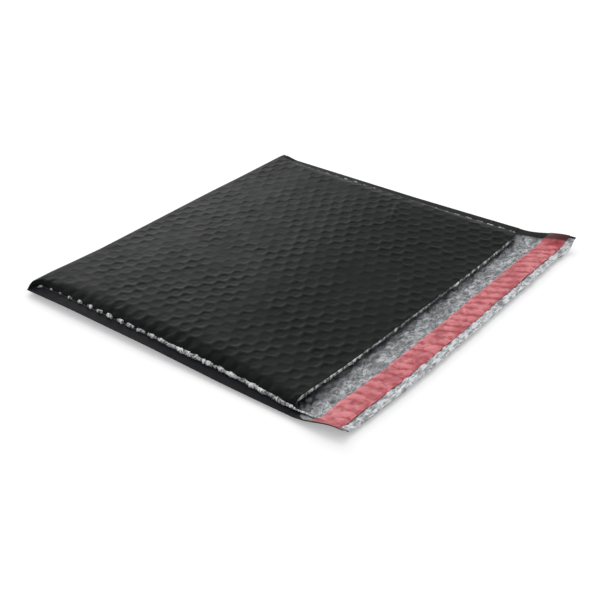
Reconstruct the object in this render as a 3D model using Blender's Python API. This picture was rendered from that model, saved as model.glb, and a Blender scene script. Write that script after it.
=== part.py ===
"""Padded envelope: a black film mailer lined with bubble film, lying flat with its flap open.

Metres, +Z up. +X runs from the fold to the flap and +Y along the mouth. The origin is under
the middle of the bounding box, on the surface that the envelope rests on.
"""

import math
from functools import partial

import bmesh
import bpy

# Cut sizes of the envelope
ENVELOPE_WIDTH = 0.320  # across the mouth, over both welded seals
BODY_DEPTH = 0.254  # fold to mouth
FLAP_LENGTH = 0.050  # mouth to the flap's end, along the film
SEAL_WIDTH = 0.010  # flat welded margin down each side

# Layers, from the outside in
FILM_WALL = 0.0004
LAYER_GAP = 0.0003  # clearance between pieces that touch
LINING_WALL = 0.0018  # air cushions without their crowns
PINCHED_LINING = 0.0002  # the lining's edge, melted flat beside the seal
ADHESIVE_WALL = 0.0002
LINER_WALL = 0.0002

# Air cushions: a close-packed pattern with its nearest neighbours along X
BUBBLE_PITCH = 0.01155
FILM_RELIEF = 0.0010  # how far the outer film dips over a cushion
LINING_RELIEF = 0.0012  # how far a cushion stands out of the bare lining
FIRST_BUBBLE = 0.010  # from the fold to the first cushion's middle

# How the envelope lies
SEAL_HEIGHT = 0.0050  # the seals stand clear of the surface, level with the middle of the fold
SEAL_WAVE = 0.0008
SEAL_WAVE_LENGTH = 0.296
FOLD_THICKNESS = 0.0100
FOLD_NOSE = 0.0050  # length over which the fold rounds to its full thickness
FOLD_CORNER = 0.0010  # what is left of the seal's width at the fold itself
FOLD_TAPER = 0.010  # from the fold to where the seal has its full width
PANEL_RISE = 0.0006  # the front panel over the fold, at its sides
PANEL_CROWN = 0.0014  # and how much more it rises in the middle
PANEL_CROWN_REACH = 0.060
MOUTH_FALL = 0.0024  # the front panel comes down again towards the mouth
MOUTH_FALL_REACH = 0.090
SHOULDER = 0.012  # width over which the padding swells up beside a seal
FOLD_SHOULDER = 0.003
MOUTH_SHOULDER = 0.026
SHOULDER_SQUARENESS = 2.4  # exponent of the shoulder's curve: 2 is an ellipse
FLAP_LIFT = 0.0007  # the flap lies almost flat: its end over the surface, at its middle
FLAP_SEAL_RISE = 0.0023
FLAP_CURL = math.radians(38)  # the flap's bare margins curl up
FLAP_CURL_REACH = 0.046

# Closing strip on the flap
LINER_OFFSET = 0.025  # mouth to the liner's near edge
LINER_WIDTH = 0.0168
ADHESIVE_MARGIN = 0.0020  # liner left bare along each side of the adhesive
STRIP_END_MARGIN = 0.0006  # from the flap's edges to the ends of the liner
ADHESIVE_END_MARGIN = 0.012

# Modelling values
SHOULDER_ROWS = (0.065, 0.18, 0.42)  # shares of a shoulder at which it has rows of points
NOSE_STEPS = 5
CROWN_ROWS = 3
PLAIN_COLUMN = 0.030  # spacing of columns on a face with no cushions, in the body
RISING_COLUMN = 0.010  # and where the panel rises from the fold
FLAP_COLUMN = 0.008
MOUTH_OVERRUN = 0.0010  # how far a cutter passes the mouth
MOUTH_RAMP = 0.0006
WELD = 0.000001

BUBBLE_ROW = BUBBLE_PITCH * math.sqrt(3) / 2
CORNER_STEP = BUBBLE_PITCH / math.sqrt(3)  # a cushion's middle to the corners of its hexagon
FLAP_RADIUS = (FLAP_LENGTH**2 + FLAP_LIFT**2) / (2 * FLAP_LIFT)
FLAP_REACH = FLAP_RADIUS * math.sin(FLAP_LENGTH / FLAP_RADIUS)  # the lifted flap, seen from above
LENGTH = BODY_DEPTH + FLAP_REACH
TAPER_SLOPE = (SEAL_WIDTH - FOLD_CORNER) / FOLD_TAPER
TAPER_SLANT = math.hypot(1, TAPER_SLOPE)
LINING_INSET = FILM_WALL + LAYER_GAP
POCKET_INSET = LINING_INSET + LINING_WALL


def clear_scene():
    for item in list(bpy.data.objects):
        bpy.data.objects.remove(item, do_unlink=True)


def ease(share):
    """0 to 1 with level ends."""
    share = min(max(share, 0.0), 1.0)
    return share * share * (3 - 2 * share)


def swell(distance, reach):
    """A quarter of a superellipse: upright at distance 0, level from reach on."""
    share = min(max(distance / reach, 0.0), 1.0)
    return (1 - (1 - share) ** SHOULDER_SQUARENESS) ** (1 / SHOULDER_SQUARENESS)


def bubble(x, y):
    """1 over a cushion's middle and 0 at the corners of its hexagon: three crossed waves."""
    turn = 2 * math.pi / BUBBLE_PITCH
    along, across = x - FIRST_BUBBLE, (y - BUBBLE_ROW / 2) / math.sqrt(3)
    waves = (turn * (along + across), turn * (along - across), turn * 2 * across)
    return (3 + 2 * sum(math.cos(wave) for wave in waves)) / 9


def ridge(x, y):
    """0 over a cushion's middle, where the outer film dips, and 1 at the corners round it."""
    return 1 - bubble(x, y)


def past_mouth(x):
    return max(x - BODY_DEPTH, 0.0)


def padding_edge(x, inset=0.0):
    """Half the width of a padded layer. At the fold it widens over the seals, along a taper."""
    beside_seal = ENVELOPE_WIDTH / 2 - SEAL_WIDTH - inset
    at_fold = ENVELOPE_WIDTH / 2 - FOLD_CORNER - TAPER_SLOPE * x - TAPER_SLANT * inset
    return max(beside_seal, at_fold)


def taper_end(inset):
    """Where a layer's taper meets its straight edge."""
    return FOLD_TAPER - inset * (TAPER_SLANT - 1) / TAPER_SLOPE


def curl(x):
    return FLAP_CURL * ease(past_mouth(x) / FLAP_CURL_REACH)


def half_width(x):
    """The outline: a curled margin looks narrower from above."""
    return ENVELOPE_WIDTH / 2 - (1 - math.cos(curl(x))) * SEAL_WIDTH


def seal_middle(x, y):
    """Height of the middle of the welded margin."""
    quarter = 0.0 if y < 0 else SEAL_WAVE_LENGTH / 4
    wave = math.sin(2 * math.pi * (x + quarter) / SEAL_WAVE_LENGTH)
    settled = ease(x / PANEL_CROWN_REACH) * ease((BODY_DEPTH - x) / PANEL_CROWN_REACH)
    level = SEAL_HEIGHT + SEAL_WAVE * wave * settled
    level += FLAP_SEAL_RISE * ease(past_mouth(x) / FLAP_REACH)
    return level + math.tan(curl(x)) * max(abs(y) - padding_edge(x), 0.0)


def lift(x):
    """Height of the back panel's middle: level in the body, an arc in the flap."""
    return FLAP_RADIUS - math.sqrt(FLAP_RADIUS**2 - past_mouth(x) ** 2)


def panel_height(x, y):
    across = 1 - (y / padding_edge(x)) ** 2
    risen = ease(x / PANEL_CROWN_REACH) * (PANEL_RISE + PANEL_CROWN * across)
    return FOLD_THICKNESS + risen - MOUTH_FALL * ease(1 - (BODY_DEPTH - x) / MOUTH_FALL_REACH)


def back_shoulder(x):
    return FOLD_SHOULDER + (SHOULDER - FOLD_SHOULDER) * min(x / FOLD_TAPER, 1.0)


def front_shoulder(x):
    along = min(x / BODY_DEPTH, 1.0)
    return back_shoulder(x) + (MOUTH_SHOULDER - SHOULDER) * along**2


def padded_share(x, y, inset, reach):
    """How far the padding has swelled here: 0 on the seal and the fold's edge, 1 inside."""
    nose = math.sqrt(1 - (1 - min(max((x - inset) / FOLD_NOSE, 0.0), 1.0)) ** 2)
    return swell(padding_edge(x, inset) - abs(y), reach) * nose


def underside(x, y, inset=0.0):
    """The back panel's outer face, or the face that lies inset above it."""
    edge = seal_middle(x, y) - (0 if inset else FILM_WALL)
    level = edge + (lift(x) + inset - edge) * padded_share(x, y, inset, back_shoulder(x))
    if inset:
        return level
    inside = ease((padding_edge(x) - abs(y)) / CORNER_STEP)
    return level - min(FILM_RELIEF * inside, 0.6 * level) * ridge(x, y) * ease(x / FOLD_NOSE - 1)


def topside(x, y, inset=0.0):
    """The front panel's outer face, or the face that lies inset below it."""
    edge = seal_middle(x, y) + (0 if inset else FILM_WALL)
    share = padded_share(x, y, inset, front_shoulder(x))
    level = edge + (panel_height(x, y) - inset - edge) * share
    if inset:
        return level
    inside = ease((padding_edge(x) - abs(y)) / CORNER_STEP)
    return level + FILM_RELIEF * ridge(x, y) * inside * ease(x / FOLD_NOSE - 1)


def flap_film_top(x, y):
    """The flap's inner film face: the welded margin is two walls thick."""
    on_margin = abs(y) > padding_edge(x) - FILM_WALL / 2
    return seal_middle(x, y) + FILM_WALL if on_margin else underside(x, y, FILM_WALL)


def flap_lining_top(x, y, raised=0.0):
    """The bare lining on the flap, carried on over the margins as the strip's bed."""
    inside = padding_edge(x, LINING_INSET) - abs(y)
    if inside < 0:
        return seal_middle(x, y) + FILM_WALL + raised
    wall = PINCHED_LINING + (LINING_WALL - PINCHED_LINING) * swell(inside, SHOULDER / 3)
    crown = LINING_RELIEF * bubble(x, y) * ease(inside / CORNER_STEP)
    return underside(x, y, LINING_INSET) + wall + crown + raised


def mirrored(values):
    return sorted({-value for value in values} | set(values))


def plain_rows(x, inset):
    """Rows for a smooth face: close beside the seals and wide between them."""
    edge = padding_edge(x, inset)
    inner = edge - SHOULDER
    rows = [edge] + [inner * (step + 0.5) / (CROWN_ROWS + 0.5) for step in range(CROWN_ROWS + 1)]
    if x > inset:
        rows += [edge - SHOULDER * share for share in SHOULDER_ROWS]
    return mirrored(rows)


def bubble_rows(x, inset):
    """Rows through the cushions' middles and corners, half a step on in every other column."""
    edge = padding_edge(x, inset)
    rows = [edge] + [edge - SHOULDER * share for share in SHOULDER_ROWS]
    column = round((x - FIRST_BUBBLE) / (BUBBLE_PITCH / 2))
    start = BUBBLE_ROW / 2 + (column % 2) * CORNER_STEP / 2
    inside = edge - SHOULDER * SHOULDER_ROWS[-1] - CORNER_STEP / 3
    first = math.ceil((-inside - start) / CORNER_STEP)
    last = math.floor((inside - start) / CORNER_STEP)
    return mirrored(rows) + [start + CORNER_STEP * step for step in range(first, last + 1)]


def nose_columns(inset):
    """Columns that follow the round of the fold."""
    angles = (math.pi / 2 * step / NOSE_STEPS for step in range(NOSE_STEPS + 1))
    return [inset + FOLD_NOSE * (1 - math.cos(angle)) for angle in angles]


def even_columns(start, end, spacing):
    count = max(1, round((end - start) / spacing))
    return [start + (end - start) * step / count for step in range(count + 1)]


def plain_columns(inset):
    """Columns for a smooth face, from the fold to the mouth."""
    made = nose_columns(inset)
    made += even_columns(taper_end(inset), PANEL_CROWN_REACH, RISING_COLUMN)
    return made + even_columns(PANEL_CROWN_REACH, BODY_DEPTH, PLAIN_COLUMN)[1:]


def bubble_columns(start, end):
    """Columns half a pitch apart that lie between start and end, and clear of both."""
    step = BUBBLE_PITCH / 2
    first = math.ceil((start + step / 3 - FIRST_BUBBLE) / step)
    last = math.floor((end - step / 3 - FIRST_BUBBLE) / step)
    return [FIRST_BUBBLE + step * count for count in range(first, last + 1)]


def across(x, y):
    """Where a row lies in its column: 1 at the padding's edge, so that rows beside it match."""
    edge = padding_edge(x)
    beyond = max(abs(y) - edge, 0.0)
    return math.copysign(min(abs(y), edge) / edge + beyond / SEAL_WIDTH, y)


def column(x, rows, height, ahead=0.0, raised=0.0):
    """Points of a face along one column, each with its place across the envelope."""
    return [
        (across(x, y), (x + ahead - LENGTH / 2, y, height(x, y) + raised)) for y in sorted(rows)
    ]


def plain_face(stations, height, inset):
    return [column(x, plain_rows(x, inset), partial(height, inset=inset)) for x in stations]


def next_middle(line, at):
    """Twice the place of the middle of a line's next step, or infinity at its end."""
    return line[at][0] + line[at + 1][0] if at < len(line) - 1 else math.inf


def strip(mesh, left, right):
    """Triangles between two lines of places and points, each step taken in its place's order."""
    i = j = 0
    while i < len(left) - 1 or j < len(right) - 1:
        if next_middle(left, i) <= next_middle(right, j):
            mesh.faces.new((left[i][1], left[i + 1][1], right[j][1]))
            i += 1
        else:
            mesh.faces.new((left[i][1], right[j + 1][1], right[j][1]))
            j += 1


def sheet(mesh, columns):
    lines = [[(place, mesh.verts.new(point)) for place, point in line] for line in columns]
    for left, right in zip(lines, lines[1:]):
        strip(mesh, left, right)
    return lines


def side(lines, end):
    """A sheet's edge along the envelope, each point with its place along X."""
    return [(line[end][1].co.x, line[end][1]) for line in lines]


def solid_between(name, low_columns, high_columns):
    """One closed object with a lower and an upper face, which meet or have a rim between them."""
    mesh = bmesh.new()
    low, high = sheet(mesh, low_columns), sheet(mesh, high_columns)
    for end in (0, -1):
        strip(mesh, low[end], high[end])
        strip(mesh, side(low, end), side(high, end))
    bmesh.ops.remove_doubles(mesh, verts=mesh.verts, dist=WELD)
    bmesh.ops.recalc_face_normals(mesh, faces=mesh.faces)
    data = bpy.data.meshes.new(name)
    mesh.to_mesh(data)
    mesh.free()
    made = bpy.data.objects.new(name, data)
    bpy.context.collection.objects.link(made)
    return made


def combine(target, tool, operation):
    """Cuts target by tool, or keeps what is inside it. The tool stays as a hidden guide."""
    cut = target.modifiers.new(tool.name, "BOOLEAN")
    cut.operation = operation
    cut.solver = "EXACT"
    cut.object = tool
    tool.hide_render = True
    tool.display_type = "WIRE"


def hollow_tool(name, inset):
    """The space inside a layer, from the fold to just past the mouth."""
    faces = []
    for height in (underside, topside):
        face = plain_face(plain_columns(inset), height, inset)
        rows = plain_rows(BODY_DEPTH, inset)
        at_mouth = partial(height, inset=inset)
        face.append(column(BODY_DEPTH, rows, at_mouth, MOUTH_OVERRUN, MOUTH_RAMP))
        faces.append(face)
    return solid_between(name, *faces)


def outer_film():
    """One sheet of film, folded at the back, welded down both sides and left long as the flap."""

    def rows(x):
        return mirrored([half_width(x)]) + bubble_rows(x, 0)

    nose = nose_columns(0)
    body = nose + bubble_columns(nose[-1], FOLD_TAPER) + [FOLD_TAPER]
    body += bubble_columns(FOLD_TAPER, BODY_DEPTH) + [BODY_DEPTH]
    flap = bubble_columns(BODY_DEPTH, LENGTH) + [LENGTH]
    low = [column(x, rows(x), underside) for x in body + flap]
    high = [column(x, rows(x), topside) for x in body]
    for x in even_columns(BODY_DEPTH, LENGTH, FLAP_COLUMN):
        margin = mirrored([half_width(x), padding_edge(x)])
        high.append(column(x, margin + plain_rows(x, FILM_WALL), flap_film_top))
    film = solid_between("outer_film", low, high)
    combine(film, hollow_tool("film_hollow", FILM_WALL), "DIFFERENCE")
    return film


def bubble_lining():
    """Bubble film folded in with the outer film. It shows on the flap and round the pocket."""
    inset = LINING_INSET
    end = LENGTH - LAYER_GAP
    body = plain_columns(inset)
    flap = even_columns(BODY_DEPTH, end, FLAP_COLUMN)[1:]
    low = plain_face(body + flap, underside, inset)
    high = plain_face(body, topside, inset)
    for x in [BODY_DEPTH] + bubble_columns(BODY_DEPTH, end) + [end]:
        high.append(column(x, bubble_rows(x, inset), flap_lining_top))
    lining = solid_between("bubble_lining", low, high)
    combine(lining, hollow_tool("pocket", POCKET_INSET), "DIFFERENCE")
    return lining


def strip_on_flap(name, bottom, wall, margin, end_margin):
    """A band across the flap that follows the cushions under it, cut to its own width."""
    stations = bubble_columns(BODY_DEPTH, LENGTH)

    def face(raised):
        made = []
        for x in stations:
            rows = bubble_rows(x, LINING_INSET) + mirrored([half_width(x), padding_edge(x)])
            made.append(column(x, rows, partial(flap_lining_top, raised=raised)))
        return made

    band = solid_between(name, face(bottom), face(bottom + wall))
    start = BODY_DEPTH + LINER_OFFSET + margin - LENGTH / 2
    width = LINER_WIDTH - 2 * margin
    reach = half_width(LENGTH) - end_margin
    bpy.ops.mesh.primitive_cube_add(size=1, location=(start + width / 2, 0, SEAL_HEIGHT))
    trim = bpy.context.object
    trim.name = name + "_trim"
    trim.scale = (width, 2 * reach, 4 * FOLD_THICKNESS)
    bpy.ops.object.transform_apply(location=False, rotation=False, scale=True)
    combine(band, trim, "INTERSECT")
    return band


def adhesive_strip():
    return strip_on_flap(
        "adhesive_strip", LAYER_GAP, ADHESIVE_WALL, ADHESIVE_MARGIN, ADHESIVE_END_MARGIN
    )


def release_liner():
    above = 2 * LAYER_GAP + ADHESIVE_WALL
    return strip_on_flap("release_liner", above, LINER_WALL, 0.0, STRIP_END_MARGIN)


def finish(target, colour, roughness, transmission=0.0):
    """A Principled material of the piece's own, and soft shading over its low bends."""
    material = bpy.data.materials.new(target.name)
    material.use_nodes = True
    shader = material.node_tree.nodes["Principled BSDF"]
    shader.inputs["Base Color"].default_value = (*colour, 1.0)
    shader.inputs["Roughness"].default_value = roughness
    shader.inputs["Metallic"].default_value = 0.0
    shader.inputs["Transmission Weight"].default_value = transmission
    target.data.materials.append(material)
    target.data.shade_smooth()
    target.data.set_sharp_from_angle(angle=math.radians(50))


def main():
    clear_scene()
    finish(outer_film(), (0.018, 0.019, 0.019), 0.45)
    finish(bubble_lining(), (0.42, 0.44, 0.45), 0.25, 0.5)
    finish(adhesive_strip(), (0.72, 0.66, 0.48), 0.35, 0.3)
    finish(release_liner(), (0.60, 0.075, 0.085), 0.40)


main()
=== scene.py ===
# Dresses the padded envelope: black film skin, clear bubble film inside, red liner on the flap.
# Metres. X runs from the fold to the flap, Y along the mouth, Z up.
import math

import bpy
import numpy as np
from mathutils import Matrix, Vector


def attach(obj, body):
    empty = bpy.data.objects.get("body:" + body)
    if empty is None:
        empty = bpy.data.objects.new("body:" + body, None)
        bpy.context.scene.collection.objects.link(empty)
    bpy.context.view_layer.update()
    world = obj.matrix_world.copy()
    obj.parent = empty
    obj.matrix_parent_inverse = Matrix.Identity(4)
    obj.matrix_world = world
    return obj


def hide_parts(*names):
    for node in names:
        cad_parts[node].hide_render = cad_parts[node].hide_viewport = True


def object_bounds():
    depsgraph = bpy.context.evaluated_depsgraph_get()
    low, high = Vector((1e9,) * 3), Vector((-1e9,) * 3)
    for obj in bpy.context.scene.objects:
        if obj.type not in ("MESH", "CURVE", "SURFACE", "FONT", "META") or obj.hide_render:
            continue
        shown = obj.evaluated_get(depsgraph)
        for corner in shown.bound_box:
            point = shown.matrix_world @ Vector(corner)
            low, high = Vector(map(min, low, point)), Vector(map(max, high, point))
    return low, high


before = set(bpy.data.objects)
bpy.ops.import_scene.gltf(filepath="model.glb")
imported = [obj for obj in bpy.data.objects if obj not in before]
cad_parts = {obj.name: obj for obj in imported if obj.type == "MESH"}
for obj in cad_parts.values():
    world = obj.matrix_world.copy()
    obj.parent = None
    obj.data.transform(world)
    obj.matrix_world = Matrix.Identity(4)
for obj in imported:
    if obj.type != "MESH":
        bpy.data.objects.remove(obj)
cadBox = [list(corner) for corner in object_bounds()]
print("frame loaded, CAD box", [[round(v, 4) for v in corner] for corner in cadBox])

# how the envelope lies: these follow the cut sizes of the CAD model
lie = {
    "bodyDepth": 0.254, "flapLength": 0.050, "sealWidth": 0.010,
    "foldCorner": 0.0010, "foldTaper": 0.007, "foldNose": 0.0050, "foldThickness": 0.0102,
    "panelRise": 0.0006, "panelCrown": 0.0014, "crownReach": 0.060,
    "mouthFall": 0.0054, "mouthCorners": 0.0034, "mouthFallReach": 0.120,
    "foldShoulder": 0.0035, "shoulder": 0.020, "shoulderReach": 0.060, "backShoulder": 0.012,
    "squareness": 2.2, "weldHalf": 0.00022, "weldInset": 0.0004,
    "mouthShift": 0.0043, "mouthSkew": 0.0030, "mouthBow": 0.0019,
    "flapLift": 0.0024, "flapSealRise": 0.0026,
    "flapCurl": math.radians(34), "curlStart": 0.004, "curlReach": 0.044,
}
# lines that no simple formula follows: places in metres, then what is read off between them
lines = {
    "nearSealHeight": ((0.0, 0.045, 0.130, 0.195, 0.225), (0.0052, 0.0060, 0.0052, 0.0033, 0.0030)),
    "farSealHeight": ((0.0, 0.012, 0.150, 0.254), (0.0058, 0.0038, 0.0034, 0.0046)),
    "nearPinch": ((0.150, 0.180, 0.198, 0.212, 0.228, 0.242, 0.254),
                  (0, -0.0003, -0.0005, 0, 0.0012, 0.0024, 0.0033)),
    "farFlap": ((0.254, 0.268, 0.304), (0, 0.0015, 0.0040)),
    "foldShift": ((-0.160, -0.152, -0.134, -0.110, -0.085, 0.050, 0.090, 0.149, 0.160),
                  (0, -0.0035, -0.0033, -0.0015, 0, 0, 0.0009, 0.0011, 0.0030)),
    "flapEndShift": ((-0.160, -0.153, -0.112, -0.056, 0.0, 0.084, 0.122, 0.146, 0.160),
                     (-0.0070, -0.0066, -0.0038, -0.0022, -0.0022, -0.0024, -0.0029, -0.0022, 0.0014)),
    "stripShift": ((-0.153, -0.112, -0.056, 0.0, 0.084, 0.131, 0.146, 0.160),
                   (-0.0035, -0.0029, -0.0008, 0, 0.0002, -0.0001, 0.0002, 0.0035)),
}
# the bubble film's cushions, close packed, their rows a little askew to the fold
cushion = {
    "pitch": 0.01114, "first": 0.0061, "turn": math.radians(-2.6), "dip": 0.00050, "wander": 0.0010,
    "netStart": 0.46, "netVaries": 0.16, "strength": 0.72, "strengthVaries": 0.50, "strengthDrifts": 0.20,
    "weakest": 0.08, "strongest": 1.3, "fromWeld": 0.0035,
}
# what disturbs the front panel: loose film between the seals, puckers beside the weld, one slanting crease
slack = {"height": 0.00030, "fromWeld": 0.03, "fromFold": 0.05}
pucker = {"depth": 0.0009, "pitch": 0.01072, "slant": 0.3, "sharpness": 1.5, "grow": 0.002,
          "hold": 0.0015, "fade": 0.0115, "fromFold": 0.02}
crease = {"x": 0.147, "y": 0.135, "alongX": 0.39, "alongY": 0.92,
          "length": 0.046, "width": 0.0022, "height": 0.0006}
# the noise fields: the spacing of each one's lattice in metres, and its seed
fields = {
    "wanderX": (0.019, 11), "wanderY": (0.017, 12), "netStart": (0.0125, 16),
    "dishStrength": (0.0115, 13), "dishDrift": (0.045, 14), "slack": (0.060, 15),
    "pucker": (0.0052, 17), "puckerFine": (0.0024, 18),
    "rimAhead": (0.0031, 21), "rimAheadFine": (0.0011, 22),
    "rimWall": (0.0047, 23), "rimWallFine": (0.0015, 24),
    "rimFoot": (0.0023, 25), "rimFleck": (0.0029, 26), "rimFleckFine": (0.0013, 27),
    "bareWander": (0.009, 31), "bareDish": (0.0125, 32), "fold": (0.0046, 33), "foldFine": (0.0024, 34),
    "fray": (0.0034, 35), "streak": (0.0016, 36), "marginStart": (0.0028, 37),
    "ripplePhase": (0.02, 41), "ripplePhaseFine": (0.007, 45),
    "ripple": (0.0055, 42), "rippleFine": (0.0026, 46),
    "stripWaver": (0.045, 43), "stripWaverFine": (0.006, 44),
    "beadRough": (0.0032, 51), "beadRoughFine": (0.0012, 52),
    "beadDrift": (0.004, 53), "beadThick": (0.0010, 54),
}

halfWidth = cadBox[1][1]
length = cadBox[1][0] - cadBox[0][0]
padHalf = halfWidth - lie["sealWidth"]
rowStep = cushion["pitch"] * math.sqrt(3) / 2
# layers this deep under a face no longer follow its relief
deepInset = 0.001


def ease(share):
    # 0 to 1 with level ends
    share = np.clip(share, 0.0, 1.0)
    return share * share * (3 - 2 * share)


def swell(distance, reach):
    # a quarter of a superellipse: upright at distance 0, level from reach on
    share = np.clip(distance / reach, 0.0, 1.0)
    power = lie["squareness"]
    return (1 - (1 - share) ** power) ** (1 / power)


def noise(label, x, y):
    # random heights from -1 to 1 on a square lattice, blended between its corners
    size, seed = fields[label]
    table = np.random.default_rng(seed).uniform(-1, 1, (97, 97))
    u, v = x / size, y / size
    i, j = np.floor(u).astype(int), np.floor(v).astype(int)
    a, b = ease(u - i), ease(v - j)
    low = table[i % 97, j % 97] * (1 - a) + table[(i + 1) % 97, j % 97] * a
    high = table[i % 97, (j + 1) % 97] * (1 - a) + table[(i + 1) % 97, (j + 1) % 97] * a
    return low * (1 - b) + high * b


def cushions(x, y):
    # three crossed waves: 1 over a cushion's middle, 0 at the corners of its hexagon
    turn, lean = 2 * math.pi / cushion["pitch"], cushion["turn"]
    u = (x - cushion["first"]) * math.cos(lean) + (y + padHalf) * math.sin(lean)
    v = (y + padHalf) * math.cos(lean) - (x - cushion["first"]) * math.sin(lean)
    along, across = turn * u, turn * (v - rowStep / 2) / math.sqrt(3)
    return (3 + 2 * (np.cos(along + across) + np.cos(along - across) + np.cos(2 * across))) / 9


def pastMouth(x):
    return np.maximum(x - lie["bodyDepth"], 0.0)


def paddingEdge(x, y):
    # half the padded width: it widens over the seals close to the fold, and a little at the mouth and the flap
    near, far = np.interp(x, *lines["nearPinch"]), np.interp(x, *lines["farFlap"])
    edge = padHalf - lie["weldInset"] + np.where(y < 0, near, far)
    slope = (lie["sealWidth"] - lie["foldCorner"]) / lie["foldTaper"]
    return np.maximum(edge, halfWidth - lie["foldCorner"] - slope * x)


def curl(x):
    return lie["flapCurl"] * ease((pastMouth(x) - lie["curlStart"]) / lie["curlReach"])


def outline(x):
    # half the whole width: a curled margin looks narrower from above
    return halfWidth - (1 - np.cos(curl(x))) * lie["sealWidth"]


def sealMiddle(x, y):
    # height of the welded margin: it rides a slow wave, then rises and curls along the flap
    near, far = np.interp(x, *lines["nearSealHeight"]), np.interp(x, *lines["farSealHeight"])
    level = np.where(y < 0, near, far) + lie["flapSealRise"] * ease(pastMouth(x) / lie["flapLength"])
    drawn = np.where(y < 0, 0, np.interp(x, *lines["farFlap"]))
    return level + np.tan(curl(x)) * np.maximum(np.abs(y) - paddingEdge(x, y) + drawn, 0.0)


def flapLift(x):
    # the flap springs up from the mouth on a shallow parabola
    return lie["flapLift"] * (pastMouth(x) / lie["flapLength"]) ** 2


def panelHeight(x, y):
    # the front panel: a low crown that comes down again towards the mouth, least beside the seals
    across = np.clip(np.abs(y) / padHalf, 0, 1)
    risen = ease(x / lie["crownReach"]) * (lie["panelRise"] + lie["panelCrown"] * (1 - across ** 2))
    fall = lie["mouthFall"] - lie["mouthCorners"] * across ** 4
    return lie["foldThickness"] + risen - fall * ease(1 - (lie["bodyDepth"] - x) / lie["mouthFallReach"])


def backShoulder(x):
    return lie["foldShoulder"] + (lie["backShoulder"] - lie["foldShoulder"]) * ease(x / lie["shoulderReach"])


def frontShoulder(x):
    return lie["foldShoulder"] + (lie["shoulder"] - lie["foldShoulder"]) * ease(x / lie["shoulderReach"])


def paddedShare(x, y, inset, reach):
    # how far the padding has swelled: 0 on the seal and at the fold, 1 inside
    nose = np.sqrt(1 - (1 - np.clip((x - inset) / lie["foldNose"], 0, 1)) ** 2)
    return swell(paddingEdge(x, y) - inset - np.abs(y), reach) * nose


def filmRelief(x, y):
    # the skin dips into a shallow dish over each cushion: 0 in the dish, up to the dip on the net between them
    wanderX = cushion["wander"] * noise("wanderX", x, y)
    wanderY = cushion["wander"] * noise("wanderY", x, y)
    netStart = cushion["netStart"] + cushion["netVaries"] * noise("netStart", x, y)
    net = 1 - ease(cushions(x + wanderX, y + wanderY) / netStart)
    strength = cushion["strength"] + cushion["strengthVaries"] * noise("dishStrength", x, y)
    strength = strength + cushion["strengthDrifts"] * noise("dishDrift", x, y)
    strength = np.clip(strength, cushion["weakest"], cushion["strongest"])
    inside = ease((paddingEdge(x, y) - np.abs(y)) / cushion["fromWeld"]) * ease(x / lie["foldNose"] - 0.8)
    return cushion["dip"] * net * strength * inside


def wrinkle(x, y):
    # one slanting crease near the far seam: a low ridge with a bell-shaped section, fading at both ends
    fromX, fromY = x - crease["x"], y - crease["y"]
    along = (fromX * crease["alongX"] - fromY * crease["alongY"]) / crease["length"]
    aside = fromX * crease["alongY"] + fromY * crease["alongX"]
    bell = np.exp(-(aside / crease["width"]) ** 2)
    return crease["height"] * bell * ease(4 * along) * ease(4 - 4 * along)


def puckers(x, y):
    # the padding is drawn in beside each fleck of the weld: creases that run up the shoulder a little and fade
    fromWeld = paddingEdge(x, y) - np.abs(y)
    place = x + pucker["slant"] * fromWeld - cushion["first"]
    beat = 0.5 + 0.5 * np.cos(2 * math.pi * place / pucker["pitch"])
    uneven = 0.7 + 0.6 * noise("pucker", x, y) + 0.35 * noise("puckerFine", x, 0.4 * y)
    band = ease(fromWeld / pucker["grow"]) * (1 - ease((fromWeld - pucker["hold"]) / pucker["fade"]))
    return pucker["depth"] * beat ** pucker["sharpness"] * uneven * band * ease(x / pucker["fromFold"])


def topFace(x, y, inset=0.0):
    # the front panel's upper face, or a layer under it: from the weld up to the panel's height
    edge = sealMiddle(x, y) + (lie["weldHalf"] if inset == 0 else 0.0)
    share = paddedShare(x, y, inset, frontShoulder(x))
    level = edge + (panelHeight(x, y) - inset - edge) * share
    loose = slack["height"] * noise("slack", x, y)
    loose = loose * ease((paddingEdge(x, y) - np.abs(y)) / slack["fromWeld"]) * ease(x / slack["fromFold"])
    level = level + loose + wrinkle(x, y) - puckers(x, y)
    return level + (filmRelief(x, y) if inset < deepInset else 0.0)


def underFace(x, y, inset=0.0):
    # the back panel's and the flap's lower face, or a layer over it
    edge = sealMiddle(x, y) - (lie["weldHalf"] if inset == 0 else 0.0)
    level = edge + (flapLift(x) + inset - edge) * paddedShare(x, y, inset, backShoulder(x))
    if inset >= deepInset:
        return level
    return level - np.minimum(filmRelief(x, y), 0.6 * level)


def flapShift(x, y):
    return np.interp(y, *lines["flapEndShift"]) * ease(pastMouth(x) / lie["flapLength"])


def placed(x, y, z, front):
    # the free edges aren't quite square: the mouth and the flap's end lie skewed, the fold bulges near a corner
    if front:
        inside = ease((paddingEdge(x, y) - np.abs(y)) / 0.009)
        place = y / padHalf
        shift = lie["mouthShift"] + lie["mouthSkew"] * place - lie["mouthBow"] * place ** 2
        shift = shift * inside * (x / lie["bodyDepth"]) ** 3
    else:
        shift = flapShift(x, y)
    shift = shift + np.interp(y, *lines["foldShift"]) * np.clip(1 - x / 0.05, 0, 1) ** 2
    return np.stack([x + shift - length / 2, y, z], axis=-1)


def evenSteps(start, end, spacing):
    return np.linspace(start, end, max(2, int(round((end - start) / spacing)) + 1))


def noseSteps(count):
    return lie["foldNose"] * (1 - np.cos(np.linspace(0, math.pi / 2, count + 1)))


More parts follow.
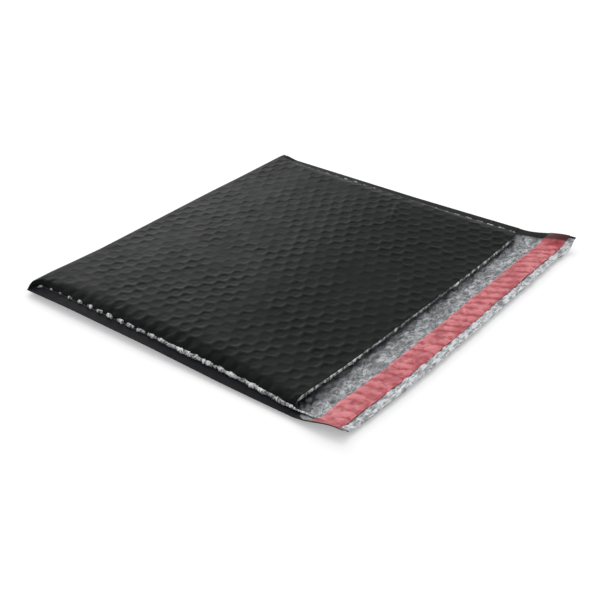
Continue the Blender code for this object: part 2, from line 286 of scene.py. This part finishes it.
def acrossPlaces(spacing, close):
    # places from -2 to 2: within 1 they share out the padded width, beyond it the margin
    shoulder = 1 - np.array(close) / padHalf
    inner = evenSteps(0, shoulder.min(), spacing / padHalf)[:-1]
    margin = 1 + np.array([0.04, 0.15, 0.35, 0.6, 0.85, 0.97, 1.0])
    right = np.concatenate([inner, np.sort(shoulder), [1.0], margin])
    return np.concatenate([-right[:0:-1], right])


def acrossGrid(stations, places):
    # every station along X crossed with every place across, both as arrays
    x = np.repeat(stations[:, None], len(places), axis=1)
    place = np.repeat(places[None, :], len(stations), axis=0)
    edge, rim = paddingEdge(x, place), outline(x)
    beyond = np.sign(place) * (edge + (rim - edge) * (np.abs(place) - 1))
    return x, np.where(np.abs(place) <= 1, edge * place, beyond)


def gridFaces(rows, columns, start=0):
    i, j = np.meshgrid(np.arange(rows - 1), np.arange(columns - 1), indexing="ij")
    corner = start + i * columns + j
    return np.stack([corner, corner + columns, corner + columns + 1, corner + 1], axis=-1).reshape(-1, 4)


def closedSheet(name, upper, lower, attributes=()):
    # one closed piece between two grids of points of the same size, with a rim round their edges
    rows, columns = upper.shape[:2]
    count = rows * columns
    index = np.arange(count).reshape(rows, columns)
    ring = np.concatenate([index[:, 0], index[-1, 1:], index[-2::-1, -1], index[0, -2:0:-1]])
    after = np.roll(ring, -1)
    rim = np.stack([count + ring, count + after, after, ring], axis=-1)
    faces = np.concatenate([gridFaces(rows, columns), gridFaces(rows, columns, count)[:, ::-1], rim])
    return meshPiece(name, np.concatenate([upper.reshape(-1, 3), lower.reshape(-1, 3)]), faces, attributes)


def skinSheet(name, outer, inner, attributes=()):
    # a closed piece with a fine outer face and an inner face four times as coarse; the rim joins them
    rows, columns = outer.shape[:2]
    fine = np.arange(rows * columns).reshape(rows, columns)
    coarse = np.arange(inner.shape[0] * inner.shape[1]).reshape(inner.shape[:2]) + fine.size
    loops = [np.concatenate([g[:, 0], g[-1, 1:], g[-2::-1, -1], g[0, -2:0:-1]]) for g in (fine, coarse)]
    spans = [np.roll(loops[0], -k)[::4] for k in range(5)]
    rim = np.stack([loops[1], np.roll(loops[1], -1), *spans[::-1]], axis=-1)
    faces = gridFaces(rows, columns).tolist() + rim.tolist()
    faces += gridFaces(*inner.shape[:2], fine.size)[:, ::-1].tolist()
    return meshPiece(name, np.concatenate([outer.reshape(-1, 3), inner.reshape(-1, 3)]), faces, attributes)


def meshPiece(name, points, faces, attributes=(), sharp=50):
    # a mesh object at the origin; an attribute's values serve the upper points, then the lower ones again
    data = bpy.data.meshes.new(name)
    data.from_pydata(points.tolist(), [], faces if isinstance(faces, list) else faces.tolist())
    for label, values in attributes:
        values = np.asarray(values, float).reshape(-1)
        values = np.concatenate([values, values])[:len(points)]
        data.attributes.new(label, "FLOAT", "POINT").data.foreach_set("value", values)
    data.shade_smooth()
    data.set_sharp_from_angle(angle=math.radians(sharp))
    made = bpy.data.objects.new(name, data)
    bpy.context.collection.objects.link(made)
    return made


# the colours, as linear red, green and blue
tones = {
    "filmDark": (0.0038, 0.0046, 0.0047), "filmPale": (0.0062, 0.0069, 0.0067),
    # the next tone is a painted shade: a purplish tone for the near seal margin only
    "weld": (0.0076, 0.0072, 0.0102),
    "clearDark": (0.060, 0.065, 0.074), "clearPale": (0.72, 0.75, 0.77), "clearShade": (0.010, 0.010, 0.014),
    "red": (0.40, 0.062, 0.078), "redPale": (0.72, 0.220, 0.240), "redSpot": (0.24, 0.020, 0.030),
    "redShade": (0.045, 0.001, 0.003), "gumDark": (0.55, 0.50, 0.36), "gumPale": (0.70, 0.66, 0.52),
    "meltDark": (0.020, 0.021, 0.023), "meltAndGlintPale": (0.80, 0.81, 0.82),
}


class Shading:
    # a small helper: adds nodes to one material and joins them
    def __init__(self, name):
        self.material = bpy.data.materials.new(name)
        self.material.use_nodes = True
        self.tree = self.material.node_tree
        self.shader = self.tree.nodes["Principled BSDF"]
        self.place = self.add("ShaderNodeTexCoord").outputs["Object"]

    def add(self, kind, **values):
        node = self.tree.nodes.new(kind)
        for key, value in values.items():
            setattr(node, key, value)
        return node

    def join(self, source, target):
        self.tree.links.new(source, target)
        return source

    def scaled(self, scale, turn=0.0):
        node = self.add("ShaderNodeMapping")
        node.inputs["Scale"].default_value = scale
        node.inputs["Rotation"].default_value = (0, 0, turn)
        self.join(self.place, node.inputs["Vector"])
        return node.outputs["Vector"]

    def noise(self, scale, detail=3.0, roughness=0.5, vector=None, distortion=0.0):
        node = self.add("ShaderNodeTexNoise")
        node.inputs["Scale"].default_value = scale
        node.inputs["Detail"].default_value = detail
        node.inputs["Roughness"].default_value = roughness
        node.inputs["Distortion"].default_value = distortion
        self.join(vector or self.place, node.inputs["Vector"])
        return node.outputs["Fac"]

    def held(self, label):
        return self.add("ShaderNodeAttribute", attribute_name=label).outputs["Fac"]

    def spread(self, value, low, high, start=0.0, end=1.0):
        node = self.add("ShaderNodeMapRange", interpolation_type="SMOOTHSTEP")
        self.join(value, node.inputs["Value"])
        for key, number in (("From Min", low), ("From Max", high), ("To Min", start), ("To Max", end)):
            node.inputs[key].default_value = number
        return node.outputs["Result"]

    def combine(self, first, second, operation="ADD", clamp=False):
        # either value may be a plain number
        node = self.add("ShaderNodeMath", operation=operation, use_clamp=clamp)
        for slot, value in zip(node.inputs, (first, second)):
            if isinstance(value, (int, float)):
                slot.default_value = value
            else:
                self.join(value, slot)
        return node.outputs["Value"]

    def blend(self, share, first, second):
        node = self.add("ShaderNodeMix", data_type="RGBA")
        self.join(share, node.inputs["Factor"])
        for slot, value in ((node.inputs[6], first), (node.inputs[7], second)):
            if isinstance(value, tuple):
                slot.default_value = (*value, 1.0)
            else:
                self.join(value, slot)
        return node.outputs[2]

    def bump(self, height, strength, distance, normal=None):
        node = self.add("ShaderNodeBump")
        node.inputs["Strength"].default_value = strength
        node.inputs["Distance"].default_value = distance
        self.join(height, node.inputs["Height"])
        if normal is not None:
            self.join(normal, node.inputs["Normal"])
        return node.outputs["Normal"]

    def finish(self, colour, roughness, normal=None, **plain):
        for label, value in (("Base Color", colour), ("Roughness", roughness)):
            if isinstance(value, (tuple, float, int)):
                self.shader.inputs[label].default_value = (*value, 1.0) if isinstance(value, tuple) else value
            else:
                self.join(value, self.shader.inputs[label])
        if normal is not None:
            self.join(normal, self.shader.inputs["Normal"])
        for label, value in plain.items():
            self.shader.inputs[label.replace("_", " ")].default_value = value
        return self.material


def blackFilm():
    # co-extruded black film: soft satin, a little dust-grey, with fine stretch creases
    s = Shading("black film")
    cloud = s.noise(22, 4, 0.6)
    colour = s.blend(s.spread(cloud, 0.35, 0.68), tones["filmDark"], tones["filmPale"])
    # the near seal margin alone takes a purplish tone and a rougher finish: a painted shade that darkens it
    colour = s.blend(s.held("weld"), colour, tones["weld"])
    roughness = s.spread(s.noise(70, 3, 0.6), 0.3, 0.75, 0.38, 0.48)
    roughness = s.combine(roughness, s.spread(s.held("weld"), 0, 1, 0, 0.16))
    creases = s.noise(240, 3, 0.55, s.scaled((0.55, 1.0, 1.0), math.radians(20)), 0.6)
    grain = s.noise(2400, 2, 0.5)
    normal = s.bump(creases, 0.25, 0.0006)
    normal = s.bump(grain, 0.10, 0.00008, normal)
    return s.finish(colour, roughness, normal, Specular_IOR_Level=0.055)


def clearFilm():
    # clear bubble film over black: dark in the mouth's shade, paler and crumpled towards the flap's end
    s = Shading("clear bubble film")
    streaks = s.noise(380, 4, 0.62, s.scaled((1.0, 0.45, 1.0), math.radians(-32)), 1.2)
    patches = s.noise(120, 3, 0.55, None, 0.8)
    toEnd = s.held("toEnd")
    drawn = s.noise(420, 4, 0.62, s.scaled((1.0, 0.28, 1.0), math.radians(-6)), 0.8)
    streaks = s.blend(s.spread(toEnd, 0.83, 0.90), streaks, drawn)
    bright = s.combine(s.spread(streaks, 0.36, 0.66), s.spread(patches, 0.30, 0.70, 0.25, 1.0), "MULTIPLY")
    # the crowns of the crumples are painted paler: painted glints on the crushed film
    bright = s.combine(bright, s.spread(s.held("crown"), -0.2, 0.9, 0.0, 0.35))
    level = s.combine(s.spread(toEnd, 0.02, 0.26, 0.13, 0.76), s.spread(toEnd, 0.78, 0.88, 0.0, 0.65))
    bright = s.combine(s.combine(bright, level, "MULTIPLY"), s.spread(toEnd, 0.84, 0.92, 0.0, 0.14))
    bright = s.combine(bright, s.combine(1.0, s.held("shade"), "SUBTRACT"), "MULTIPLY", clamp=True)
    colour = s.blend(bright, tones["clearDark"], tones["clearPale"])
    colour = s.blend(s.spread(s.held("shade"), 0.55, 1.0), colour, tones["clearShade"])
    folds = s.noise(520, 3, 0.6, None, 1.2)
    normal = s.bump(streaks, 0.45, 0.0008)
    normal = s.bump(folds, 0.30, 0.0003, normal)
    return s.finish(colour, 0.24, normal, Specular_IOR_Level=0.40, Coat_Weight=0.2, Coat_Roughness=0.12)


def redFilm():
    # translucent red release film: ripples where it rides over the cushions, their crests painted paler as a
    # painted highlight
    s = Shading("red liner film")
    streaks = s.noise(230, 3, 0.55, s.scaled((0.5, 1.0, 1.0), math.radians(-30)), 0.8)
    crestHighlight = s.spread(s.held("ridge"), 0.1, 1.2, 0.0, 0.75)
    pale = s.combine(crestHighlight, s.spread(streaks, 0.40, 0.70, 0.0, 0.45), clamp=True)
    colour = s.blend(pale, tones["red"], tones["redPale"])
    spots = s.spread(s.noise(300, 2, 0.5, None, 0.6), 0.58, 0.70, 0.0, 0.55)
    colour = s.blend(spots, colour, tones["redSpot"])
    colour = s.blend(s.held("shade"), colour, tones["redShade"])
    normal = s.bump(streaks, 0.35, 0.0006)
    return s.finish(colour, 0.30, normal, Specular_IOR_Level=0.22)


def gumFilm():
    # soft pressure-sensitive adhesive, pale and a little cloudy
    s = Shading("adhesive")
    colour = s.blend(s.noise(300, 2), tones["gumDark"], tones["gumPale"])
    return s.finish(colour, 0.3, s.bump(s.noise(500, 2), 0.3, 0.0003), Specular_IOR_Level=0.5)


def silverEdge():
    # the bubble film's melted cut edge: bright crumpled flecks in clear film, partly its own pale melt and
    # partly painted glints
    s = Shading("melted edge and painted glints")
    flecks = s.noise(520, 3, 0.6, s.scaled((1.0, 0.45, 0.45), math.radians(25)), 1.0)
    bright = s.combine(s.spread(flecks, 0.40, 0.58, 0.10, 1.0), s.held("silver"), "MULTIPLY", clamp=True)
    colour = s.blend(bright, tones["meltDark"], tones["meltAndGlintPale"])
    normal = s.bump(s.noise(700, 3, 0.6, None, 1.0), 0.5, 0.0005)
    return s.finish(colour, 0.30, normal, Specular_IOR_Level=0.4)


print("materials")
filmBlack, filmClear, filmRed, gum, meltAndGlint = blackFilm(), clearFilm(), redFilm(), gumFilm(), silverEdge()


def dress(piece, material, slot, *nodes):
    piece.data.materials.append(material)
    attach(piece, "root")
    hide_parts(*nodes)
    return piece


# the skin: front panel, then back panel and flap
skin = {"step": 0.00105, "backStep": 0.0024, "flapStep": 0.0015, "inset": 0.0003, "weldEdge": 0.0015}
closeToSeal = [0.00012, 0.0004, 0.0009, 0.0016, 0.0024, 0.0033, 0.0042, 0.0051]


def inFours(values):
    # drops the last few inner places so that every fourth one can carry the coarse face
    spare = (len(values) - 1) % 4
    return np.delete(values, np.arange(len(values) // 2, len(values) // 2 + spare))


noseAndPanel = np.concatenate([noseSteps(12), evenSteps(lie["foldNose"], lie["bodyDepth"], skin["step"])[1:]])
stations, places = inFours(noseAndPanel), inFours(acrossPlaces(skin["step"], closeToSeal))
x, y = acrossGrid(stations, places)
outer = placed(x, y, topFace(x, y), True)
# painted shade: this masks the near seal margin's purplish tone, on the near side only
weld = ease((-y - paddingEdge(x, y)) / skin["weldEdge"])
x, y = acrossGrid(stations[::4], places[::4])
level = topFace(x, y, deepInset) + deepInset - skin["inset"]
inner = placed(x, y, np.minimum(level, topFace(x, y) - 0.0002), True)
weld = np.concatenate([weld.reshape(-1), np.zeros(x.size)])
frontSkin = skinSheet("front_skin", outer, inner, [("weld", weld)])
dress(frontSkin, filmBlack, "black_film", "outer_film")

stations = np.concatenate([
    noseSteps(10), evenSteps(lie["foldNose"], lie["bodyDepth"], skin["backStep"])[1:],
    evenSteps(lie["bodyDepth"], lie["bodyDepth"] + lie["flapLength"], skin["flapStep"])[1:],
])
x, y = acrossGrid(stations, acrossPlaces(skin["backStep"], closeToSeal))
outer = placed(x, y, underFace(x, y), False)
inner = placed(x, y, np.maximum(underFace(x, y, lie["weldHalf"]), underFace(x, y) + 0.00012), False)
dress(closedSheet("back_skin", inner, outer), filmBlack, "black_film", "outer_film")
print("skin made")

# bubble film: the front panel's inner layer, which shows as the mouth's cut edge
edgeLayer = {"wall": 0.0018, "ahead": 0.0008, "ragged": 0.0004, "step": 0.0006, "depth": 0.0022,
             "reach": 0.985, "hidden": 0.014, "coarse": 0.020, "start": 0.012, "rise": 0.009, "endThin": 0.004}

stations = np.concatenate([
    evenSteps(edgeLayer["start"], lie["bodyDepth"] - edgeLayer["hidden"], edgeLayer["coarse"]),
    evenSteps(lie["bodyDepth"] - edgeLayer["hidden"], lie["bodyDepth"], 0.0012)[1:],
])
places = np.linspace(-edgeLayer["reach"], edgeLayer["reach"], int(2 * padHalf / edgeLayer["step"]))
x, y = acrossGrid(stations, places)
atMouth = ease(1 - (lie["bodyDepth"] - x) / edgeLayer["rise"])
top = placed(x, y, topFace(x, y, 0.00025) - 0.00012 - edgeLayer["depth"] * (1 - atMouth), True)
low = top.copy()
crumple = 1 + 0.25 * noise("rimWall", x, y) + 0.15 * noise("rimWallFine", x, y)
fromEnd = paddingEdge(x, y) - np.abs(y) - edgeLayer["endThin"]
low[..., 2] -= edgeLayer["wall"] * crumple * (0.15 + 0.85 * ease(fromEnd / 0.006))
ragged = edgeLayer["ahead"] + edgeLayer["ragged"] * (noise("rimAhead", x, y) + noise("rimAheadFine", x, y))
top[..., 0] += ragged * atMouth
low[..., 0] += (ragged + 0.0003 * noise("rimFoot", x, y)) * atMouth
# its silver flecks, partly the melt and partly painted glints: strongest at the mouth's near end, where a
# painted glint is added, gone before the seals
flecks = noise("rimFleck", x, y) + 0.7 * noise("rimFleckFine", x, y + 2 * top[..., 2])
silver = 0.16 + 0.84 * ease(0.34 + 1.5 * flecks) + 0.5 * ease((-y - 0.120) / 0.02)
silver = silver * ease(fromEnd / 0.003)
dress(closedSheet("front_lining", top, low, [("silver", silver)]), meltAndGlint, "clear_bubble_film", "bubble_lining")

# bubble film: the back panel's layer, whose cushions lie bare on the flap
bare = {"inset": 0.0012, "wall": 0.0013, "crown": 0.0009, "step": 0.00067, "crumple": 0.00036,
        "margin": 0.00035, "beside": 0.00035, "overlap": 0.0006, "reach": 0.9965,
        "nearStart": 0.010, "farStart": 0.0052, "startVaries": 0.005, "wander": 0.0008,
        "sink": 0.0008, "foot": 0.0009, "thinnest": 0.0002, "marginWall": 0.00015, "fray": 0.0007,
        "wallReach": 0.003, "crownReach": 0.006, "roughReach": 0.004, "endReach": 0.0045,
        "pressed": 0.8, "smoothed": 0.85, "keptWidth": 0.02}
# the closing strip, which presses the bubble film flat: its settings stand here because both pieces read them
strip = {"offset": 0.02355, "width": 0.0187, "step": 0.00055, "gumMargin": 0.0024, "gumReach": 0.965,
         "linerReach": 1.94, "linerWall": 0.00012, "gumDrop": 0.00018, "gumWall": 0.00015,
         "ripple": 0.00055, "lean": (0.15, 0.60), "margin": 0.00066,
         "foot": 0.0002, "over": 0.0003, "bedReach": 0.007, "edgeFall": 0.0006, "edgeReach": 0.0025,
         "waver": 0.0005, "waverFine": 0.0004}
stripStart = lie["bodyDepth"] + strip["offset"]
flapEnd = lie["bodyDepth"] + lie["flapLength"]
# both sheets on the flap leave the margin this far inside the weld, and no faster than this slope
besideWeld, marginSlope = 0.0005, 4


def crumples(x, y):
    # creases of crushed film: sharp ridges where a slow noise crosses zero, at two sizes and leans
    slow = np.abs(noise("fold", x + 0.5 * y, 0.8 * y - 0.3 * x))
    fine = np.abs(noise("foldFine", x - 0.4 * y, 0.7 * y + 0.5 * x))
    return (1 - slow) ** 3 + 0.6 * (1 - fine) ** 3 - 0.6


def fromMargin(level, inside, margin):
    # the welded margin's level outside the padding, and at least a steep slope down from it inside
    return np.where(inside > 0, np.maximum(level, margin - marginSlope * inside), margin)


def liningTop(x, y):
    # the bubble film's upper face: low cushions, flattened under the strip and at the flap's end, then crumples
    inside = paddingEdge(x, y) - besideWeld - np.abs(y)
    domes = ease(1.3 * cushions(x + bare["wander"] * noise("bareWander", x, y), y))
    domes = domes * (0.8 + 0.3 * noise("bareDish", x, y))
    flat = 1 - bare["pressed"] * ease((x - flapEnd + bare["endReach"]) / bare["endReach"])
    swollen = 0.2 + 0.8 * ease(inside / bare["wallReach"])
    padded = underFace(x, y, bare["inset"]) - bare["sink"] + bare["wall"] * swollen
    onStrip = x + flapShift(x, y) - np.interp(y, *lines["stripShift"]) - stripStart
    underStrip = ease((onStrip + 0.0005) / 0.0025) * ease((strip["width"] + 0.0015 - onStrip) / 0.0025)
    crowns = bare["crown"] * domes * ease(inside / bare["crownReach"]) * flat
    padded = padded + crowns * (1 - bare["pressed"] * underStrip)
    past = onStrip - strip["width"]
    beside = ease((past + 0.001) / 0.001) * ease((0.003 - past) / 0.002)
    padded = padded + bare["beside"] * beside * ease(inside / bare["roughReach"])
    level = fromMargin(padded, inside, sealMiddle(x, y) + bare["margin"])
    rough = crumples(x, y) * (0.25 + 0.75 * ease(inside / bare["roughReach"]))
    rough = rough * (1 - bare["smoothed"] * underStrip)
    return level + bare["crumple"] * rough


pocketEnd = lie["bodyDepth"] + 0.0006
inPocket = np.concatenate([
    evenSteps(edgeLayer["start"], lie["bodyDepth"] - edgeLayer["hidden"], edgeLayer["coarse"]),
    evenSteps(lie["bodyDepth"] - edgeLayer["hidden"], pocketEnd, bare["step"])[1:],
])
onFlap = evenSteps(pocketEnd, flapEnd, bare["step"])[1:]
inside = np.linspace(-bare["reach"], bare["reach"], int(2 * padHalf / (1.12 * bare["step"])))
beyond = np.linspace(1.03, 1.90, 14)
places = np.concatenate([-beyond[::-1], inside, beyond[:10]])
stations = np.concatenate([inPocket, onFlap])
x, y = acrossGrid(stations, places)
# in the pocket, beside the mouth and along most of the far margin the layer stops at the seals: there its
# points on the margin are drawn in to the padding
nearStart = lie["bodyDepth"] + bare["nearStart"] + bare["startVaries"] * noise("marginStart", 0 * x, y)
covered = x > np.where(y < 0, nearStart, flapEnd - bare["farStart"])
drawnIn = np.where(covered, np.abs(y), np.minimum(np.abs(y), paddingEdge(x, y) - bare["overlap"]))
overlap = np.maximum(np.abs(y) - drawnIn, 0)
onMargin = np.abs(y) >= paddingEdge(x, y)
y = np.sign(y) * (drawnIn + bare["keptWidth"] * overlap)
top = placed(x, y, liningTop(x, y), False)
foot = underFace(x, y, bare["inset"]) - bare["foot"]
low = placed(x, y, np.minimum(foot, liningTop(x, y) - bare["thinnest"]), False)
low[..., 2] = np.where(onMargin, top[..., 2] - bare["marginWall"], low[..., 2])
fray = bare["fray"] * (1 + noise("fray", x, y)) * ease((x - flapEnd) / 0.003 + 1)
top[..., 0] += fray
low[..., 0] += fray
toEnd = np.clip(pastMouth(x) / lie["flapLength"], 0, 1)
streaks = noise("streak", x + 0.6 * y, 0.5 * y)
# where it lies in shade: on the margins, and under the rim's near end
beyondMouth = pastMouth(x)
nearTone = 0.80 + 0.28 * streaks + 0.30 * (1 - ease((beyondMouth - 0.001) / 0.007))
nearTone = nearTone - 0.25 * ease((beyondMouth - 0.012) / 0.01)
shade = np.where(y < 0, nearTone, 0.30) * ease((np.abs(y) - paddingEdge(x, y) + 0.0015) / 0.002)
underRim = ease((-y - 0.095) / 0.045) * (1 - ease((beyondMouth - 0.004) / 0.011))
shade = np.clip(shade + underRim * (0.80 + 0.25 * streaks), 0, 1)
held = [("crown", crumples(x, y)), ("toEnd", toEnd), ("shade", shade)]
dress(closedSheet("back_lining", top, low, held), filmClear, "clear_bubble_film", "bubble_lining")
print("bubble film made")

# closing strip: adhesive and its red liner, which ride over the cushions


def bandTop(x, y):
    # a taut film over the cushions: sharp ripples lean across it, one to each row of cushions
    flapX = x + np.interp(y, *lines["stripShift"]) - flapShift(x, y)
    inside = paddingEdge(flapX, y) - besideWeld - np.abs(y)
    fromEdge = np.minimum(x - stripStart, stripStart + strip["width"] - x)
    swollen = (bare["wall"] + strip["over"]) * ease(inside / strip["bedReach"])
    bed = underFace(flapX, y, bare["inset"]) + strip["foot"] + swollen
    bed = bed - strip["edgeFall"] * (1 - ease(fromEdge / strip["edgeReach"]))
    lean = np.interp(y, (-padHalf, padHalf), strip["lean"])
    phase = (y - lean * (x - stripStart)) / rowStep
    phase = phase + 0.25 * noise("ripplePhase", x, y) + 0.12 * noise("ripplePhaseFine", x, y)
    fold = np.abs(np.sin(math.pi * phase)) ** 0.8
    ripple = fold + 0.60 * noise("ripple", x, y) + 0.35 * noise("rippleFine", x, y)
    ripple = np.maximum(ripple, -0.15)
    level = fromMargin(bed, inside, sealMiddle(flapX, y) + strip["margin"])
    return level + strip["ripple"] * ripple * ease(inside / 0.005 + 0.12), ripple


def band(name, start, width, reach, drop, wall, material, slot, node):
    # the strip's grid, carried out over the margins where its reach is more than the padded width
    stations = evenSteps(start, start + width, strip["step"])
    places = np.linspace(-min(reach, 1), min(reach, 1), 560)
    if reach > 1:
        beyond = np.linspace(1, reach, 12)[1:]
        places = np.concatenate([-beyond[::-1], places, beyond])
    x, y = acrossGrid(stations, places)
    z, ripple = bandTop(x, y)
    waver = strip["waver"] * noise("stripWaver", 0 * x, y)
    waver = waver + strip["waverFine"] * noise("stripWaverFine", 0 * x, y)
    place = x + waver + np.interp(y, *lines["stripShift"]) - length / 2
    top, low = np.stack([place, y, z - drop], axis=-1), np.stack([place, y, z - drop - wall], axis=-1)
    shade = np.where(y < 0, 0.35, 0.95) * ease((np.abs(y) - paddingEdge(x, y) + 0.001) / 0.002)
    return dress(closedSheet(name, top, low, [("ridge", ripple), ("shade", shade)]), material, slot, node)


band("liner", stripStart, strip["width"], strip["linerReach"], 0.0, strip["linerWall"],
     filmRed, "red_liner", "release_liner")
band("gum", stripStart + strip["gumMargin"], strip["width"] - 2 * strip["gumMargin"], strip["gumReach"],
     strip["gumDrop"], strip["gumWall"], gum, "adhesive", "adhesive_strip")
print("closing strip made")

# melted bead along each seal: a fleck beside every cushion, running together towards the mouth; its silver is
# partly the melt and partly painted glints
bead = {"halfWidth": 0.0013, "halfHeight": 0.0013, "lengthStep": 0.0003, "sides": 16, "lean": 0.0010,
        "lift": 0.0008, "start": 0.004, "onFlap": 0.019, "pastMouth": 0.0008, "outset": 0.0005,
        "climbFrom": 0.09, "climbReach": 0.05, "climbIn": 0.0011, "climbUp": 0.0021}


def sealBead(name, sign, strength, joined, scale):
    # a closed tube of rings along the seal, fat where a fleck sits and thin between; sign picks the side
    end = lie["bodyDepth"] + (bead["onFlap"] if sign < 0 else bead["pastMouth"])
    along = evenSteps(bead["start"], end, bead["lengthStep"])
    angle = np.linspace(0, 2 * math.pi, bead["sides"], endpoint=False)
    pulse = 0.5 + 0.5 * np.cos(2 * math.pi * (along - cushion["first"]) / pucker["pitch"])
    gaps = ease((pulse - 0.80 + joined * np.clip(along / 0.15, 0, 1) ** 1.4) / 0.26)
    row = 0 * along + 0.01 * sign
    rough = noise("beadRough", along, row) + 0.7 * noise("beadRoughFine", along, row)
    thin = 0.62 + 0.38 * ease(along / 0.10) + 0.14 * ease((along - 0.12) / 0.05)
    thin = thin * (1 - 0.65 * ease((along - lie["bodyDepth"] + 0.008) / 0.014))
    size = scale * thin * (0.30 + 0.70 * gaps) * (1 + 0.24 * rough + 0.22 * (pulse - 0.5))
    drift = bead["lean"] * (0.45 * noise("beadDrift", along, row) + 0.35 * pulse) * scale
    middleY = sign * (paddingEdge(along, row) + bead["outset"] - drift)
    middleZ = sealMiddle(along, middleY) + bead["lift"] * (0.6 + 0.8 * gaps) * scale
    # beside the fold the far one climbs a little way up the shoulder
    climb = (1 - ease((along - bead["climbFrom"]) / bead["climbReach"])) * (sign > 0)
    middleY, middleZ = middleY - bead["climbIn"] * climb, middleZ + bead["climbUp"] * climb
    # the flecks lean: the upper side of each runs ahead of its foot
    ahead = 0.0005 * np.sin(angle)[None, :] * gaps[:, None]
    spread = noise("beadThick", along[:, None] + 0 * angle, 0.002 * angle[None, :] + sign)
    thick = size[:, None] * (1 + 0.24 * spread)
    ringY = middleY[:, None] + bead["halfWidth"] * thick * np.cos(angle)
    ringZ = middleZ[:, None] + bead["halfHeight"] * thick * np.sin(angle)
    # its foot stays between the two films
    ringZ = np.maximum(ringZ, sealMiddle(along[:, None] + 0 * angle, ringY) - 0.0001)
    ring = np.stack([along[:, None] - ahead - length / 2, ringY, ringZ], axis=-1)
    rows, columns = ring.shape[:2]
    index = np.arange(rows * columns).reshape(rows, columns)
    after = np.roll(index, -1, axis=1)
    faces = np.stack([index[:-1], after[:-1], after[1:], index[1:]], axis=-1).reshape(-1, 4)
    faces = faces[:, ::-1].tolist() + [index[0].tolist(), index[-1, ::-1].tolist()]
    # the flecks' silver is partly painted glint: dimmer near the fold, and dimmer on the far bead through its
    # lower strength
    silver = np.clip(strength * gaps * (0.80 + 0.40 * rough) * (0.60 + 0.40 * ease(along / 0.10)), 0, 1)
    held = [("silver", np.repeat(silver, columns))]
    made = meshPiece(name, ring.reshape(-1, 3), faces, held, sharp=180)
    return dress(made, meltAndGlint, "clear_bubble_film", "bubble_lining")


sealBead("near_bead", -1, 0.95, 1.05, 1.0)
sealBead("far_bead", 1, 0.78, 0.50, 0.66)
print("beads made")

# floor, light and camera
stage = {"floorTone": 0.80, "floorGlow": 0.31, "floorHalf": 6.0, "floorDrop": 0.00005,
         "world": 1.0, "fill": 0.72}
view = {"azimuth": 37.874, "rise": 31.292, "roll": -0.417, "place": (0.44490, -0.58537, 0.42103),
        "sensor": 36.0, "lens": 63.63}


def whiteFloor():
    # a pale matt floor that still takes the shadow; what looks at it straight sees a little glow added
    corners = np.array([[-1, -1, 0], [1, -1, 0], [1, 1, 0], [-1, 1, 0]]) * stage["floorHalf"]
    floor = meshPiece("floor", corners - [0, 0, stage["floorDrop"]], np.array([[0, 1, 2, 3]]))
    s = Shading("floor")
    s.finish((stage["floorTone"],) * 3, 0.9, Specular_IOR_Level=0.0)
    path = s.add("ShaderNodeLightPath")
    seen = s.combine(path.outputs["Is Camera Ray"], path.outputs["Is Glossy Ray"], "MAXIMUM")
    seen = s.combine(seen, path.outputs["Is Transmission Ray"], "MAXIMUM")
    glow = s.add("ShaderNodeEmission")
    s.join(s.combine(seen, stage["floorGlow"], "MULTIPLY"), glow.inputs["Strength"])
    both = s.add("ShaderNodeAddShader")
    s.join(s.shader.outputs[0], both.inputs[0])
    s.join(glow.outputs[0], both.inputs[1])
    s.join(both.outputs[0], s.tree.nodes["Material Output"].inputs["Surface"])
    floor.data.materials.append(s.material)


def whiteWorld():
    # white to the camera and in reflections, a little less as fill light
    world = bpy.data.worlds.new("room")
    bpy.context.scene.world = world
    world.use_nodes = True
    tree = world.node_tree
    back = tree.nodes["Background"]
    path = tree.nodes.new("ShaderNodeLightPath")
    seen = None
    for label in ("Is Glossy Ray", "Is Transmission Ray"):
        node = tree.nodes.new("ShaderNodeMath")
        node.operation = "MAXIMUM"
        tree.links.new(path.outputs["Is Camera Ray"] if seen is None else seen, node.inputs[0])
        tree.links.new(path.outputs[label], node.inputs[1])
        seen = node.outputs[0]
    span = tree.nodes.new("ShaderNodeMapRange")
    span.inputs["To Min"].default_value = stage["fill"]
    span.inputs["To Max"].default_value = stage["world"]
    tree.links.new(seen, span.inputs["Value"])
    tree.links.new(span.outputs["Result"], back.inputs["Strength"])
    back.inputs["Color"].default_value = (1, 1, 1, 1)


def softLamp(name, place, target, size, power, mirrored):
    data = bpy.data.lights.new(name, "AREA")
    data.shape, data.size, data.energy = "DISK", size, power
    lamp = bpy.data.objects.new(name, data)
    lamp.location = place
    lamp.rotation_mode = "QUATERNION"
    lamp.rotation_quaternion = (Vector(target) - Vector(place)).to_track_quat("-Z", "Y")
    lamp.visible_glossy = mirrored
    bpy.context.collection.objects.link(lamp)


def viewCamera():
    # as in the photograph: from the near right, 31 degrees above the table
    azimuth, rise, roll = (math.radians(view[label]) for label in ("azimuth", "rise", "roll"))
    back = Vector((math.sin(azimuth) * math.cos(rise), -math.cos(azimuth) * math.cos(rise), math.sin(rise)))
    right = Vector((math.cos(azimuth), math.sin(azimuth), 0))
    up = back.cross(right)
    right, up = math.cos(roll) * right + math.sin(roll) * up, math.cos(roll) * up - math.sin(roll) * right
    data = bpy.data.cameras.new("camera")
    data.sensor_width, data.lens = view["sensor"], view["lens"]
    camera = bpy.data.objects.new("camera", data)
    turn = Matrix((right, up, back)).transposed().to_4x4()
    camera.matrix_world = Matrix.Translation(view["place"]) @ turn
    bpy.context.collection.objects.link(camera)
    bpy.context.scene.camera = camera


whiteFloor()
whiteWorld()
softLamp("windowLamp", (-1.05, 0.73, 0.64), target=(-0.05, 0, 0), size=0.95, power=4.4, mirrored=True)
softLamp("topLamp", (-0.3, 0.5, 2.0), target=(0, 0, 0), size=1.2, power=7, mirrored=False)
viewCamera()
bpy.context.scene.view_settings.view_transform = "Standard"
print("stage, light and camera set")
